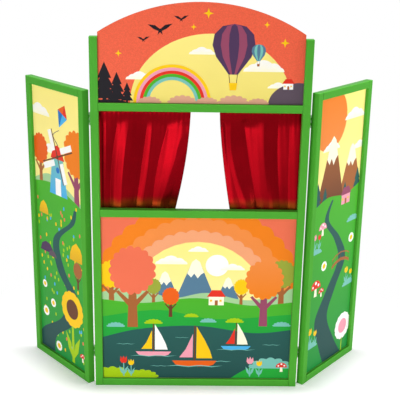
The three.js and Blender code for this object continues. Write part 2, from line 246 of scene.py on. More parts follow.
def painted_metal():
    """The same enamel, brushed over the hinges and their screws."""
    look = Look("hinge_enamel", Roughness=0.3, Coat_Weight=0.2, Coat_Roughness=0.15)
    cloudy = look.noise(look.place(), *BRUSH_CLOUDS)
    look.set("Base Color", look.tone(HINGE_GREEN, look.spread(cloudy, *HINGE_TONES)))
    look.bump(look.noise(look.place(), *BRUSH_STROKES), *STROKE_RELIEF)
    return look.material


def bare_board():
    """The brown fibre of the boards, seen on their backs and on the free round edge."""
    look = Look("bare_board", Roughness=0.75)
    fibre = look.noise(look.place(), *BOARD_FIBRE)
    cloudy = look.noise(look.place(), *BOARD_CLOUDS)
    dark = look.tone(BARE_BOARD, look.spread(fibre, *FIBRE_TONES))
    mixed = look.add("HueSaturation", {"Color": dark, "Value": look.spread(cloudy, *BOARD_TONES)})
    look.set("Base Color", mixed.outputs[0])
    look.bump(fibre, *FIBRE_RELIEF)
    return look.material


def dowel_wood():
    look = Look("dowel_wood", Roughness=0.55)
    grain = look.noise(look.place(0.0, ROD_GRAIN_SCALE), *TURNED)
    look.set("Base Color", look.tone(PINE, look.spread(grain, *PINE_TONES)))
    look.bump(grain, *ROD_RELIEF)
    return look.material


def zinc_wire():
    look = Look("zinc_wire", Base_Color=STEEL, Metallic=1.0)
    streaks = look.noise(look.place(), *WIRE_STREAKS)
    look.set("Roughness", look.spread(streaks, *WIRE_ROUGHNESS))
    return look.material


def wear(material, *names):
    for name in names:
        slots = nodes[name].data.materials
        slots.clear()
        slots.append(material)


for side, turn in (("left", WING_ANGLE), ("right", -WING_ANGLE)):
    upright = painted_wood(f"enamel_wing_{side}_stile", turn)
    level = painted_wood(f"enamel_wing_{side}_rail", turn, upright=False)
    wear(upright, f"wing_{side}_inner_stile", f"wing_{side}_outer_stile")
    wear(level, f"wing_{side}_top_rail", f"wing_{side}_bottom_rail")
wear(painted_wood("enamel_stile"), "stage_stile_left", "stage_stile_right")
wear(painted_wood("enamel_rail", upright=False), "bottom_rail", "stage_sill", "header_rail")
wear(bare_board(), "arch_board", "lower_board", "wing_left_board", "wing_right_board")
wear(painted_metal(), *(name for name in nodes if name.startswith("hinge_")))
wear(dowel_wood(), "curtain_rod")
wear(zinc_wire(), "screw_eye_left", "screw_eye_right")


# Curtains: satin hung in gathers from the rod, and drawn partly open

CLOTH_THICKNESS = 0.8 * MM
CLOTH_OUTER = 281 * MM
CLOTH_BACK = 23.8 * MM
SLEEVE_OUTER = 269.9 * MM
SLEEVE_BULGE = 4.6 * MM
HEM_Z = 532 * MM
HEM_FOLD = 14 * MM
STITCH_RISE = 7 * MM
HEADING_RISE = 12.2 * MM
LAYER_GAP = 1.1 * MM
SPREAD_START, SPREAD_END = 839.4 * MM, 829.4 * MM
FOLD_DEPTH = 15.5 * MM
INNER_FOLD_DEPTH = 8 * MM
FRONT_LEEWAY = 0.4 * MM
GATHER_PITCH = 12.5 * MM
GATHER_DEPTH = 0.22 * MM
CREASE_DEPTH = 0.1 * MM
PUFF_DEPTH = 5.5 * MM
HEM_SWAY = 0.8 * MM
# How high above the hem the painted sill reflection reaches, and how strong it is
HEM_REFLECTION_START, HEM_REFLECTION_END = 305 * MM, 350 * MM
HEM_REFLECTION = 0.5
CURTAIN_FLAT_LENGTH = 377 * MM
FRONT_Y = SHIFT_Y + CLOTH_BACK
HEADING_TOP = ROD_Z + HEADING_RISE
STITCH_LOW, STITCH_HIGH = ROD_Z - STITCH_RISE, ROD_Z + STITCH_RISE
WHOLE_DROP = HEADING_TOP - HEM_Z

# Columns across the cloth, and rows round the rod, over the heading, down the drop and in the hem
COLUMNS = 220
ROD_ROWS, HEADING_ROWS, DROP_ROWS, HEM_ROWS = 13, 4, 78, 5

# Where the forms set in and how far they reach, as shares of the drop, and how that swings across the cloth
FORMING_START_SHARE, FORMING_SHARE = 0.04, 0.13
PUFF_START_SHARE, PUFF_SHARE, PUFF_SWING_SHARE, PUFF_SWINGS = 0.03, 0.1, 0.02, 11
FADE_START_SHARE, FADE_SHARE, FADE_SWING_SHARE, FADE_SWINGS = 0.02, 0.2, 0.16, 9

# The gathers and the small creases, with where they set in as shares of the width
DEEPER_START_SHARE, DEEPER_SHARE = 0.25, 0.4
DRIFT_SHARE, GATHER_DRIFT, GATHER_LEAN = 0.1, 0.055, 1.5
GATHER_SIZE, GATHER_SIZE_SWING, GATHERS_TO_A_SWING = 0.75, 0.25, 3.7
CREASE_COUNT, CREASE_TURNS, CREASE_STARTS, CREASE_LEAN = 4, (7, 15), (0, 6), 3
SLEEVE_ROUNDNESS, SLEEVE_RIPPLE = 0.8, 0.16
HEM_SWAY_RATE = 0.31
ROUNDING = 0.35

# Each fold: how far across it lies from the side, and how far back, as shares at three heights
FOLD_HEIGHTS = (570 * MM, 690 * MM, 785 * MM)
LEFT_FOLD_SHARES = [
    (0, 0.25, 0, 0.25, 0, 0.25), (0.03, 0.55, 0.03, 0.5, 0.035, 0.5),
    (0.06, 0.5, 0.08, 0.4, 0.083, 0.3), (0.14, 0.75, 0.15, 0.75, 0.2, 0.62),
    (0.2, 0.42, 0.21, 0.42, 0.25, 0.46), (0.28, 0.14, 0.29, 0.05, 0.33, 0.28),
    (0.43, 0.8, 0.47, 0.75, 0.5, 0.65), (0.475, 0.9, 0.5, 0.8, 0.53, 0.7),
    (0.555, 0.66, 0.575, 0.5, 0.585, 0.5), (0.68, 0.8, 0.69, 0.56, 0.76, 0.54),
    (0.79, 0.58, 0.87, 0, 0.92, 0.08), (0.9, 1, 0.94, 0, 0.96, 0.04),
    (1, 1.08, 1, 0.12, 1, 0),
]
RIGHT_FOLD_SHARES = [
    (0, 0.1, 0, 0.05, 0, 0.05), (0.03, 0.1, 0.02, 0, 0.02, 0),
    (0.14, 0.46, 0.15, 0.4, 0.15, 0.38), (0.26, 0.48, 0.29, 0.76, 0.29, 0.72),
    (0.36, 0.16, 0.41, 0.42, 0.41, 0.42), (0.41, 0.28, 0.46, 0.3, 0.46, 0.3),
    (0.5, 0.36, 0.57, 0.5, 0.58, 0.58), (0.6, 0.58, 0.66, 0.72, 0.7, 0.87),
    (0.68, 0.05, 0.76, 0.58, 0.78, 0.64), (0.73, -0.05, 0.87, 0.46, 0.87, 0.42),
    (0.84, 0.18, 0.92, 0.56, 0.93, 0.5), (0.93, 0.26, 0.96, 0.68, 0.965, 0.72),
    (1, 0.42, 1, 0.76, 1, 0.78),
]


def smooth(t):
    t = np.clip(t, 0, 1)
    return t * t * (3 - 2 * t)


def hanging_path():
    """Side view of the cloth from the stitch behind the rod, over the heading and down to the turned hem.

    Each place is (height, which layer, whether the rod pushes it out): -1 is the front layer, 1 the back.
    """
    low, high = STITCH_LOW, STITCH_HIGH
    places = [(z, 1, True) for z in np.linspace(low, high, ROD_ROWS)]
    places += [(z, 1, False) for z in np.linspace(high, HEADING_TOP, HEADING_ROWS)[1:]]
    places += [(HEADING_TOP + LAYER_GAP / 3, 0, False)]
    places += [(z, -1, False) for z in np.linspace(HEADING_TOP, high, HEADING_ROWS)[:-1]]
    places += [(z, -1, True) for z in np.linspace(high, low, ROD_ROWS)]
    places += [(z, -1, False) for z in np.linspace(low, HEM_Z, DROP_ROWS)[1:]]
    places += [(HEM_Z - LAYER_GAP / 3, 0, False)]
    places += [(z, 1, False) for z in np.linspace(HEM_Z, HEM_Z + HEM_FOLD, HEM_ROWS)]
    return places


def fold_line(marks, height, across):
    """How far back the folds lie, as shares, at places across the cloth: valleys sharp and ridges round."""
    held = np.clip(height, FOLD_HEIGHTS[0], FOLD_HEIGHTS[-1])
    where = np.array([np.polyval(np.polyfit(FOLD_HEIGHTS, mark[0::2], 2), held) for mark in marks])
    back = np.array([np.polyval(np.polyfit(FOLD_HEIGHTS, mark[1::2], 2), held) for mark in marks])
    index = np.clip(np.searchsorted(where, across, side="right") - 1, 0, len(where) - 2)
    part = (across - where[index]) / (where[index + 1] - where[index])
    receding = back[index + 1] > back[index]
    part = np.where(receding, part, 1 - part)
    eased = ROUNDING * part * part + (1 - ROUNDING) * part
    near, far = np.minimum(back[index], back[index + 1]), np.maximum(back[index], back[index + 1])
    return near + (far - near) * eased


def curtain_rows(side, marks, fullness, drawn_top, drawn_hem, edge_bend, seed):
    """Points of the cloth's middle surface, row by row along the path and column by column across."""
    chance = np.random.default_rng(seed)
    share = np.linspace(0, 1, COLUMNS + 1)
    count = (CLOTH_OUTER - drawn_top) / GATHER_PITCH
    drift = np.cumsum(chance.normal(0, GATHER_DRIFT, COLUMNS + 1))
    gathers = 2 * math.pi * count * share + smooth(share / DRIFT_SHARE) * drift
    sizes = GATHER_SIZE + GATHER_SIZE_SWING * np.sin(2 * math.pi * count * share / GATHERS_TO_A_SWING + 1)
    crease_turns = chance.uniform(*CREASE_TURNS, CREASE_COUNT)
    crease_starts = chance.uniform(*CREASE_STARTS, CREASE_COUNT)
    depth = fullness * (FOLD_DEPTH + INNER_FOLD_DEPTH * smooth((share - DEEPER_START_SHARE) / DEEPER_SHARE))
    puff_reach = PUFF_SHARE + PUFF_SWING_SHARE * np.sin(PUFF_SWINGS * share)
    fade_reach = FADE_SHARE + FADE_SWING_SHARE * np.sin(FADE_SWINGS * share + 1)

    def hung(z):
        """How far back the free cloth hangs: puffed out under the rod, and in folds further down."""
        fallen = (STITCH_LOW - z) / WHOLE_DROP
        formed = smooth((fallen - FORMING_START_SHARE) / FORMING_SHARE)
        sunk = smooth((fallen - PUFF_START_SHARE) / puff_reach)
        puff = PUFF_DEPTH * smooth(fallen / PUFF_START_SHARE) * (1 - sunk)
        folds = FRONT_Y + depth * fold_line(marks, z, share)
        gathered = 1 - smooth((fallen - FADE_START_SHARE) / fade_reach)
        wave = GATHER_DEPTH * sizes * gathered * np.sin(gathers + GATHER_LEAN * fallen)
        creases = sum(np.sin(turn * 2 * math.pi * share + start + (CREASE_LEAN + i) * fallen)
                      for i, (turn, start) in enumerate(zip(crease_turns, crease_starts)))
        free = ROD_Y - puff + (folds - ROD_Y) * formed + wave + CREASE_DEPTH / 2 * creases * formed
        return np.maximum(free, FRONT_Y - FRONT_LEEWAY)

    rows = []
    for z, layer, round_rod in hanging_path():
        drop = (HEADING_TOP - z) / WHOLE_DROP
        spread = smooth((SPREAD_START - z) / (SPREAD_START - SPREAD_END))
        outer = SLEEVE_OUTER + (CLOTH_OUTER - SLEEVE_OUTER) * spread
        inner = drawn_top + (drawn_hem - drawn_top) * max(drop, 0) ** edge_bend
        if round_rod:
            bulge = max(math.cos(math.pi / 2 * (z - ROD_Z) / STITCH_RISE), 0) ** SLEEVE_ROUNDNESS
            ripple = 1 + SLEEVE_RIPPLE * (1 + np.sin(gathers))
            y = ROD_Y + layer * (LAYER_GAP / 2 + SLEEVE_BULGE * bulge * ripple)
        elif z > ROD_Z:
            ruffle = smooth((z - STITCH_HIGH) / (HEADING_TOP - STITCH_HIGH))
            y = ROD_Y + layer * LAYER_GAP / 2 + GATHER_DEPTH * ruffle * sizes * np.sin(gathers)
        else:
            y = hung(z) + layer * LAYER_GAP / 2
        x = outer + (inner - outer) * share
        height = z + (HEM_SWAY * np.sin(gathers * HEM_SWAY_RATE + 2) if z < STITCH_LOW else 0)
        rows.append(np.stack([side * x, y * np.ones_like(x), height * np.ones_like(x)], axis=1))
    return np.array(rows)


def put(name, data):
    """A new object in the scene."""
    made = bpy.data.objects.new(name, data)
    bpy.context.scene.collection.objects.link(made)
    return made


def thick_sheet(name, middle, thickness, flat):
    """A closed sheet about a grid of points, with a UV map that holds its flat coordinates."""
    down = np.gradient(middle, axis=0)
    over = np.gradient(middle, axis=1)
    normal = np.cross(over, down)
    normal /= np.linalg.norm(normal, axis=2, keepdims=True)
    rows, columns = middle.shape[:2]
    faces = []
    layer = rows * columns

    def at(face, row, column):
        return face * layer + row * columns + column

    for i in range(rows - 1):
        for j in range(columns - 1):
            corners = ((i, j), (i, j + 1), (i + 1, j + 1), (i + 1, j))
            faces.append([at(0, *c) for c in corners])
            faces.append([at(1, *c) for c in reversed(corners)])
    rim = [(0, j) for j in range(columns)]
    rim += [(i, columns - 1) for i in range(1, rows)]
    rim += [(rows - 1, j) for j in reversed(range(columns - 1))]
    rim += [(i, 0) for i in reversed(range(1, rows - 1))]
    for here, after in zip(rim, rim[1:] + rim[:1]):
        faces.append([at(0, *after), at(0, *here), at(1, *here), at(1, *after)])
    points = np.concatenate([(middle + side * thickness / 2 * normal).reshape(-1, 3) for side in (1, -1)])
    mesh = bpy.data.meshes.new(name)
    mesh.from_pydata(points.tolist(), [], faces)
    lengths = np.linalg.norm(np.diff(middle, axis=0), axis=2).mean(axis=1)
    along = np.concatenate([[0], np.cumsum(lengths)]) * flat[1] / lengths.sum()
    across = np.linspace(0, flat[0], columns)
    flat_place = np.stack(np.meshgrid(across, along), axis=2).reshape(-1, 2)
    layer_uv = mesh.uv_layers.new(name="flat")
    corners = np.array([loop.vertex_index for loop in mesh.loops]) % layer
    layer_uv.data.foreach_set("uv", flat_place[corners].ravel())
    mesh.shade_smooth()
    made = bmesh.new()
    made.from_mesh(mesh)
    bmesh.ops.recalc_face_normals(made, faces=made.faces)
    made.to_mesh(mesh)
    made.free()
    return put(name, mesh)


def satin():
    """Red satin with an orange sheen, and near the hem a painted olive reflection of the green sill."""
    sheen = {"Specular_IOR_Level": 0.14, "Specular_Tint": SATIN_SHINE}
    look = Look("red_satin", Roughness=0.4, Metallic=0.82, **sheen)
    flat = look.add("UVMap", uv_map="flat").outputs[0]
    threads = look.add("Mapping", {"Vector": flat}, {"Scale": THREAD_SCALE}).outputs[0]
    weave = look.noise(threads, *WOVEN)
    shades = look.spread(look.noise(look.place(), *SATIN_CLOUDS), *SATIN_TONES)
    amount = look.math("MULTIPLY", look.spread(weave, *WEAVE_TONES), shades)
    # Near the hem the red is mixed with olive in patches: a painted reflection of the green sill
    down = look.add("SeparateXYZ", {0: flat}).outputs["Y"]
    reflection_near_hem = look.ramp(down, HEM_REFLECTION_START, HEM_REFLECTION_END, 0.0, HEM_REFLECTION, interpolation_type="SMOOTHSTEP")
    reflection_patches = look.spread(look.noise(look.place(), *HEM_REFLECTION_CLOUDS), *HEM_REFLECTION_TONES)
    painted_reflection = look.math("MULTIPLY", reflection_near_hem, reflection_patches, clamp=True)
    links = {0: painted_reflection, MIX_FROM: look.tone(SATIN_RED, amount)}
    mixed = look.add("Mix", links, {MIX_TO: SILL_REFLECTION_OLIVE}, data_type="RGBA")
    look.set("Base Color", mixed.outputs[MIX_COLOUR])
    look.bump(weave, *WEAVE_RELIEF)
    return look.material


def hang_curtain(word, marks, fullness, drawn_top, drawn_hem, edge_bend, flat_width, seed):
    side = -1 if word == "left" else 1
    flat = (flat_width, CURTAIN_FLAT_LENGTH)
    rows = curtain_rows(side, marks, fullness, drawn_top, drawn_hem, edge_bend, seed)
    cloth = thick_sheet(f"curtain_{word}_cloth", rows, CLOTH_THICKNESS, flat)
    cloth.data.materials.append(SATIN)
    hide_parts(f"curtain_{word}")
    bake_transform(cloth)


# Each curtain: its folds, how full they are, its inner edge at the top and at the hem, how that edge bends,
# the cloth's flat width, and the seed of its gathers
CURTAINS = {
    "left": (LEFT_FOLD_SHARES, 0.9, 26 * MM, 69.5 * MM, 1.75, 325 * MM, 4),
    "right": (RIGHT_FOLD_SHARES, 1.05, 52 * MM, 91 * MM, 1.5, 288 * MM, 9),
}
SATIN = satin()
for word, sizes in CURTAINS.items():
    hang_curtain(word, *sizes)


# Printed sheets: flat coloured shapes on thin paper, glued to the front of each board

PAPER_FRONT, PAPER_BACK = 0.2 * MM, 0.02 * MM
PAPER_MARGIN = 0.5 * MM
BOARD_WIDTH = 2 * INNER_HALF
WING_BOARD_WIDTH = WING_WIDTH - 2 * BATTEN
ROUND_STEPS = 36
SMOOTH_STEPS = 7
MEETING_POINT = 1e-7
UNDER_SHARE = -0.05

INKS = {
    "coral": (236, 98, 68), "salmon": (236, 112, 80), "orange": (240, 128, 22), "apricot": (240, 140, 66),
    "rust": (232, 96, 20), "peach": (242, 164, 118), "golden": (250, 200, 14), "ochre": (222, 170, 20),
    "sky": (255, 238, 136), "haze": (252, 240, 172), "dawn": (240, 222, 116), "cream": (255, 250, 222),
    "white": (252, 250, 246), "green": (34, 166, 56), "leaf": (76, 176, 40), "emerald": (22, 142, 60),
    "lime": (166, 202, 10), "olive": (154, 166, 58), "teal": (38, 90, 84), "petrol": (30, 74, 72),
    "mint": (120, 192, 180), "sage": (164, 206, 150), "slate": (86, 124, 150), "brown": (165, 98, 50),
    "umber": (104, 60, 36), "plum": (78, 54, 88), "violet": (150, 72, 100), "dusk": (92, 78, 90),
    "pink": (240, 158, 176), "blush": (222, 166, 136), "red": (226, 50, 32), "blue": (74, 176, 232),
    "navy": (34, 116, 190), "night": (22, 18, 26),
}


def joined(places):
    """A smooth line through the given places."""
    padded = [places[0], *places, places[-1]]
    line = []
    for a, b, c, d in zip(padded, padded[1:], padded[2:], padded[3:]):
        for step in range(SMOOTH_STEPS):
            t = step / SMOOTH_STEPS
            line.append(tuple(q + t * (r - p) / 2 + t * t * (p - 2.5 * q + 2 * r - s / 2)
                              + t ** 3 * (3 * q - p - 3 * r + s) / 2 for p, q, r, s in zip(a, b, c, d)))
    return line + [places[-1]]


def arc(start=0.0, end=360.0, radius=1.0, lobes=0, depth=0.0):
    """Points round a circle of the given radius, whose edge may be a row of round lobes."""
    steps = max(ROUND_STEPS, 6 * lobes)
    whole = end - start == 360
    turns = [start + (end - start) * i / steps for i in range(steps + (0 if whole else 1))]
    points = []
    for turn in turns:
        reach = radius * (1 - depth + depth * abs(math.sin(lobes * math.radians(turn) / 2)) if lobes else 1)
        points.append((reach * math.cos(math.radians(turn)), reach * math.sin(math.radians(turn))))
    return points


def mirrored(*half):
    """A whole outline from its right half."""
    return (*half, *((-x, y) for x, y in reversed(half) if x))


DISC = arc()
DOME = arc(0, 180)
CROWN = arc(lobes=17, depth=0.1)
GLOW = arc(lobes=40, depth=0.03)
PUFF = arc(0, 180, lobes=14, depth=0.14)
BAND_SHARES = (1, 0.92, 0.84, 0.76, 0.68, 0.6)
CLOUD_SHARES = ((0, 0, 0.3), (-0.24, 0, 0.2), (0.26, 0, 0.22), (-0.4, 0, 0.11), (0.43, 0, 0.11))
TRUNK_SHARES = mirrored((0.06, 0), (0.04, 0.55))
BRANCH_SHARES = ((0, 0.3), (0.16, 0.46), (0.19, 0.44), (0.03, 0.24))
CROWN_SHARES = (0, 0.7, 0.3)
CROWN_STRETCH, BUSH_STRETCH = (0.9, 1), (1, 0.55)
PINE_SHARES = (((-0.3, 0.1), (0.3, 0.1), (0, 0.55)), ((-0.24, 0.35), (0.24, 0.35), (0, 0.8)),
               ((-0.17, 0.6), (0.17, 0.6), (0, 1)), ((-0.05, 0), (0.05, 0), (0.05, 0.12), (-0.05, 0.12)))
STAR_SHARES = ((0.5, 0), (0.12, 0.12), (0, 0.5), (-0.12, 0.12), (-0.5, 0), (-0.12, -0.12), (0, -0.5),
               (0.12, -0.12))
SWALLOW_SHARES = ((-0.5, 0.16), (-0.2, 0.13), (-0.03, 0), (0.03, 0), (0.2, 0.15), (0.5, 0.2), (0.26, 0),
                  (0.07, -0.1), (0.1, -0.24), (0, -0.14), (-0.1, -0.25), (-0.07, -0.1), (-0.26, -0.02))
ENVELOPE_SHARES = mirrored((0, 0.5), (0.25, 0.45), (0.42, 0.28), (0.46, 0.05), (0.38, -0.2),
                           (0.2, -0.44), (0.1, -0.58))
GORE_SHARES = (0.62, 0.24)
ROPE_SHARES = (((-0.1, -0.58), (-0.085, -0.58), (-0.065, -0.76), (-0.08, -0.76)),
               ((0.1, -0.58), (0.085, -0.58), (0.065, -0.76), (0.08, -0.76)))
BASKET_SHARES = mirrored((0.09, -0.76), (0.07, -0.92))
HULL_SHARES = mirrored((0.5, 0.14), (0.42, 0.04), (0.3, 0))
MAST_SHARES = mirrored((0.015, 0.14), (0.015, 1))
MAIN_SAIL_SHARES = ((0.04, 0.2), (0.4, 0.2), (0.34, 0.4), (0.22, 0.66), (0.04, 0.98))
FRONT_SAIL_SHARES = ((-0.04, 0.22), (-0.34, 0.22), (-0.2, 0.42), (-0.04, 0.8))
WAKE_STRETCH, STRAW_STRETCH = (1.3, 1), (3, 3)
WAVE_SHARES = ((-0.5, 0), (-0.3, 0.03), (-0.1, 0), (0.1, 0.03), (0.3, 0), (0.5, 0.02), (0.3, -0.02),
               (0.1, 0.01), (-0.1, -0.02), (-0.3, 0.01))
PEAK_SHARES = mirrored((0.6, 0), (0.1, 0.94), (0, 1))
CAP_SHARES = ((-0.22, 0.7), (-0.12, 0.62), (-0.04, 0.7), (0.05, 0.6), (0.13, 0.68), (0.21, 0.72),
              (0.1, 0.94), (0, 1), (-0.1, 0.94))
STEM_SHARES = mirrored((0.03, 0), (0.02, 0.7))
LEAF_SHARES = ((0, 0.05), (0.14, 0.22), (0.2, 0.5), (0.06, 0.34))
TULIP_SHARES = mirrored((0.08, 0.64), (0.16, 0.76), (0.13, 0.98), (0.06, 0.86), (0, 1))
STOOL_STEM_SHARES = mirrored((0.14, 0), (0.09, 0.5))
STOOL_CAP_SHARES = (0, 0.45, 0.5)
STOOL_STRETCH = (1, 0.95)
STOOL_SPOT_SHARES = ((0, 0.78, 0.09), (-0.27, 0.6, 0.07), (0.27, 0.62, 0.08))
HOUSE_SHARES = mirrored((0.4, 0), (0.4, 0.5))
ROOF_SHARES = mirrored((0.5, 0.48), (0.24, 0.86))
DOOR_SHARES = mirrored((0.08, 0), (0.08, 0.28))
WINDOW_SHARES = ((-0.28, 0.2, 0.12), (0.22, 0.2, 0.12))
SQUARE_SHARES = mirrored((0.5, 0), (0.5, 1))
MILL_SHARES = mirrored((0.26, 0), (0.16, 0.62))
MILL_CAP_SHARES = mirrored((0.2, 0.6), (0.12, 0.78), (0, 0.83))
SAIL_ARM_SHARES = ((0, -0.012), (0.46, -0.012), (0.46, 0.012), (0, 0.012))
SAIL_CLOTH_SHARES = ((0.12, 0.02), (0.46, 0.02), (0.46, 0.12), (0.12, 0.12))
SAIL_HUB_SHARE = 0.64
SAIL_TURNS = (20, 110, 200, 290)
MILL_WINDOW_SHARES, MILL_HUB_SHARES = (0, 0.42, 0.05), (0, 0, 0.035)
KITE_TURN = -25
KITE_SHARES = (((0, 0.5), (0.34, 0.1), (0, 0.1)), ((0, 0.5), (-0.34, 0.1), (0, 0.1)),
               ((0, -0.5), (0.34, 0.1), (0, 0.1)), ((0, -0.5), (-0.34, 0.1), (0, 0.1)))
STACK_SHARES = mirrored((0.5, 0), (0.46, 0.3), (0.3, 0.62), (0, 0.82))
STRAW_SHARES = ((-0.4, 0.22, 0.05), (-0.05, 0.3, 0.05), (0.26, 0.2, 0.05), (-0.2, 0.5, 0.05),
                (0.14, 0.5, 0.05))
ROCK_SHARES = ((-0.5, 0), (0.5, 0), (0.44, 0.2), (0.22, 0.4), (-0.08, 0.44), (-0.36, 0.3))
PETAL_COUNT = 14
PETAL_SHARES, FLOWER_MIDDLE_SHARES = (0.34, 0.16), (0, 0, 0.27)
DOT_SHARE = 0.014
DOTTED_SHARES = (0.03, 0.97)
DOT_STRETCH = (1, 1.7)
DOT_INKS = ("golden", "lime", "blue", "salmon")
BRIDGE_SHARES = mirrored((0, 0.15), (0.3, 0.1), (0.5, 0), (0.5, 0.1), (0.3, 0.2), (0, 0.25))
POST_STRETCH = (0.12, 1.2)
POST_SHARES = ((-0.45, 0.05, 0.2), (-0.22, 0.13, 0.2), (0, 0.16, 0.2), (0.22, 0.13, 0.2), (0.45, 0.05, 0.2))
RAILING_SHARES = mirrored((0, 0.41), (0.3, 0.36), (0.5, 0.26), (0.5, 0.3), (0.3, 0.4), (0, 0.45))


class Print:
    """A picture in shares of a board's width, from its lower left corner. Later shapes lie on earlier ones.

    A motif stands at a place: how far across, how far up, and how large.
    """

    def __init__(self, outline, ink, top_ink=None, mottled=False):
        self.shapes = []
        self.fill(outline, ink, top_ink, mottled)

    def draw(self, rows):
        """Motifs, each row with the motif's name, its places and what else it takes."""
        for motif, places, *rest in rows:
            for place in places:
                getattr(self, motif)(place, *rest)
        return self

    def fill(self, points, ink, top_ink=None, mottled=False):
        """An outline filled with one ink, or faded from it at the foot to another at the top."""
        turning = sum(a[0] * b[1] - b[0] * a[1] for a, b in zip(points, [*points[1:], points[0]]))
        ordered = list(points) if turning > 0 else list(reversed(points))
        self.shapes.append((ordered, linear(*INKS[ink]), linear(*INKS[top_ink or ink]), mottled))

    def stamp(self, place, shares, ink, top_ink=None, stretch=(1, 1), turn=0.0):
        """An outline in shares of its own size, stretched and turned."""
        x, y, size = place
        c, s = size * math.cos(math.radians(turn)), size * math.sin(math.radians(turn))
        grown = [(u * stretch[0], v * stretch[1]) for u, v in shares]
        self.fill([(x + c * u - s * v, y + s * u + c * v) for u, v in grown], ink, top_ink)

    def spot(self, place, part, ink, top_ink=None, shares=DISC, stretch=(1, 1)):
        """An outline at a part (across, up, size) of a larger motif."""
        x, y, size = place
        self.stamp((x + part[0] * size, y + part[1] * size, part[2] * size), shares, ink, top_ink, stretch)

    def ground(self, line, ink, top_ink=None):
        """Ground below a smooth line, down past the foot of the board."""
        top = joined(line)
        self.fill([(top[0][0], UNDER_SHARE), (top[-1][0], UNDER_SHARE), *reversed(top)], ink, top_ink)

    def stream(self, line, ink, top_ink=None):
        """A winding band, through places of (across, up, width)."""
        middle = joined(line)
        left = [(x - wide / 2, y) for x, y, wide in middle]
        right = [(x + wide / 2, y) for x, y, wide in middle]
        self.fill(left + right[::-1], ink, top_ink)

    def rainbow(self, place, *inks):
        """Bands of colour bent over a place, from the outside in."""
        for outer, inner, ink in zip(BAND_SHARES, BAND_SHARES[1:], inks):
            self.stamp(place, arc(0, 180, outer) + arc(0, 180, inner)[::-1], ink)

    def cloud(self, place):
        for part in CLOUD_SHARES:
            self.spot(place, part, "cream", "white", DOME)

    def tree(self, place, trunk, crown, top=None):
        self.stamp(place, TRUNK_SHARES, trunk)
        for flip in (1, -1):
            self.stamp(place, BRANCH_SHARES, trunk, stretch=(flip, 1))
        self.spot(place, CROWN_SHARES, crown, top, CROWN, CROWN_STRETCH)

    def pine(self, place, ink):
        for part in PINE_SHARES:
            self.stamp(place, part, ink)

    def bush(self, place, ink, top=None):
        self.stamp(place, PUFF, ink, top, BUSH_STRETCH)

    def leaves(self, place, ink):
        for flip in (1, -1):
            self.stamp(place, LEAF_SHARES, ink, stretch=(flip, 1))

    def tulip(self, place, ink):
        self.leaves(place, "mint")
        self.stamp(place, STEM_SHARES, "mint")
        self.stamp(place, TULIP_SHARES, ink)

    def toadstool(self, place, ink):
        self.stamp(place, STOOL_STEM_SHARES, "cream")
        self.spot(place, STOOL_CAP_SHARES, ink, None, DOME, STOOL_STRETCH)
        for part in STOOL_SPOT_SHARES:
            self.spot(place, part, "white")

    def balloon(self, place, ink, gore, basket):
        for rope in ROPE_SHARES:
            self.stamp(place, rope, "umber")
        self.stamp(place, ENVELOPE_SHARES, ink)
        for share, colour in zip(GORE_SHARES, (gore, ink)):
            self.stamp(place, ENVELOPE_SHARES, colour, stretch=(share, 1))
        self.stamp(place, BASKET_SHARES, basket)

    def boat(self, place, hull, sail, jib):
        self.stamp(place, MAST_SHARES, "umber")
        self.stamp(place, MAIN_SAIL_SHARES, sail)
        self.stamp(place, FRONT_SAIL_SHARES, jib)
        self.stamp(place, HULL_SHARES, hull)
        self.stamp(place, WAVE_SHARES, "mint", stretch=WAKE_STRETCH)

    def peak(self, place, ink, top, wide):
        self.stamp(place, PEAK_SHARES, ink, top, (wide, 1))
        self.stamp(place, CAP_SHARES, "cream", stretch=(wide, 1))

    def house(self, place, wall, roof):
        self.stamp(place, HOUSE_SHARES, wall)
        self.stamp(place, ROOF_SHARES, roof)
        self.stamp(place, DOOR_SHARES, "brown")
        for part in WINDOW_SHARES:
            self.spot(place, part, "golden", None, SQUARE_SHARES)

    def windmill(self, place):
        x, y, size = place
        self.stamp(place, MILL_SHARES, "blue", "mint")
        self.stamp(place, DOOR_SHARES, "white")
        self.spot(place, MILL_WINDOW_SHARES, "navy")
        self.stamp(place, MILL_CAP_SHARES, "red")
        hub = (x, y + SAIL_HUB_SHARE * size, size)
        for turn in SAIL_TURNS:
            self.stamp(hub, SAIL_CLOTH_SHARES, "white", turn=turn)
            self.stamp(hub, SAIL_ARM_SHARES, "umber", turn=turn)
        self.spot(hub, MILL_HUB_SHARES, "umber")

    def kite(self, place, tail):
        self.stream(tail, "plum")
        for part, ink in zip(KITE_SHARES, ("red", "rust", "blue", "navy")):
            self.stamp(place, part, ink, turn=KITE_TURN)

    def haystack(self, place):
        self.stamp(place, STACK_SHARES, "ochre", "golden")
        for part in STRAW_SHARES:
            self.spot(place, part, "brown", None, WAVE_SHARES, STRAW_STRETCH)

    def flower(self, place, petal, middle):
        """A round head of petals, without a stem."""
        reach, radius = PETAL_SHARES
        for i in range(PETAL_COUNT):
            turn = math.radians(360 * i / PETAL_COUNT)
            self.spot(place, (reach * math.cos(turn), reach * math.sin(turn), radius), petal)
        self.spot(place, FLOWER_MIDDLE_SHARES, middle)

    def bridge(self, place):
        for part in POST_SHARES:
            self.spot(place, part, "umber", None, SQUARE_SHARES, POST_STRETCH)
        self.stamp(place, BRIDGE_SHARES, "brown")
        self.stamp(place, RAILING_SHARES, "brown")

    def dots(self, heights, seed, count):
        """Small flowers strewn over a meadow, between two heights."""
        chance = np.random.default_rng(seed)
        for _ in range(count):
            x, y = chance.uniform(*DOTTED_SHARES), chance.uniform(*heights)
            ink = DOT_INKS[chance.integers(len(DOT_INKS))]
            self.stamp((x, y, DOT_SHARE), DISC, ink, stretch=DOT_STRETCH)


